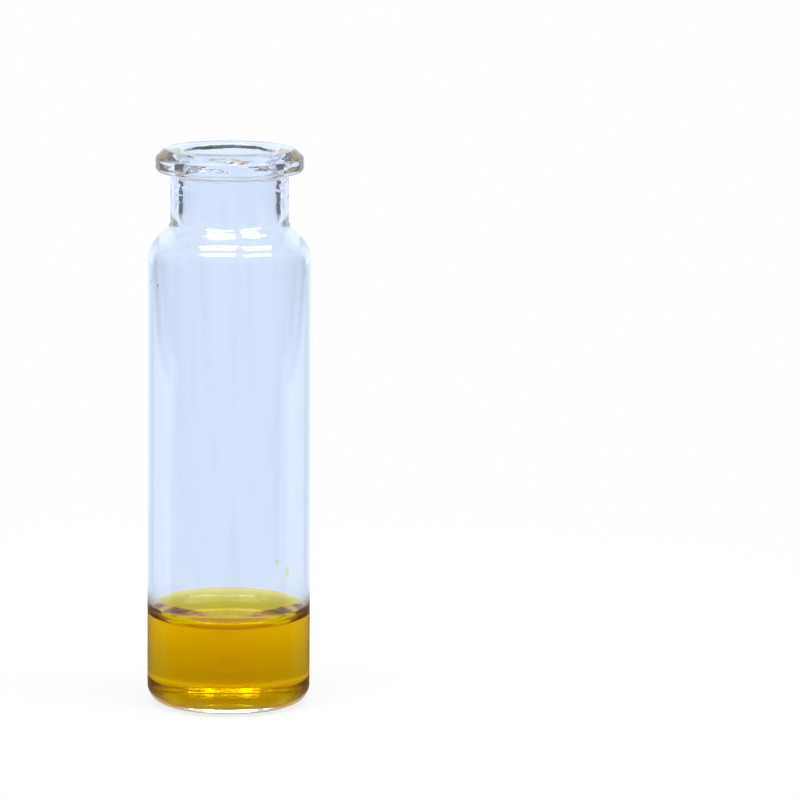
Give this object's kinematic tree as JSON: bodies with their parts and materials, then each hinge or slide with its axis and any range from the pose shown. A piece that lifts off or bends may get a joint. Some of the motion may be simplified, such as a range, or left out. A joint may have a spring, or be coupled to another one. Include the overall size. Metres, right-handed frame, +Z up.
{
  "type": "glass sample vial",
  "caption": "Open crimp-neck headspace vial of clear tubular glass with a bevelled lip, rounded shoulder and heel, part filled with a yellow liquid sample.",
  "frame": {"origin": "centre of the foot, on the vial's axis, in the plane that it stands on", "axes": "+Z up along the vial's axis to the mouth; -Y is the side that faces the viewer"},
  "size_m": [0.022, 0.022, 0.0755],
  "materials": {
    "clear_glass": "clear, drawn tube with fire-polished edges",
    "yellow_liquid": "clear yellow liquid",
    "dried_sample": "thin dried film"
  },
  "bodies": {
    "root": {"glass_vial": "clear_glass", "liquid_sample": "yellow_liquid", "drip_low": "dried_sample", "drip_high": "dried_sample"}
  },
  "joints": []
}
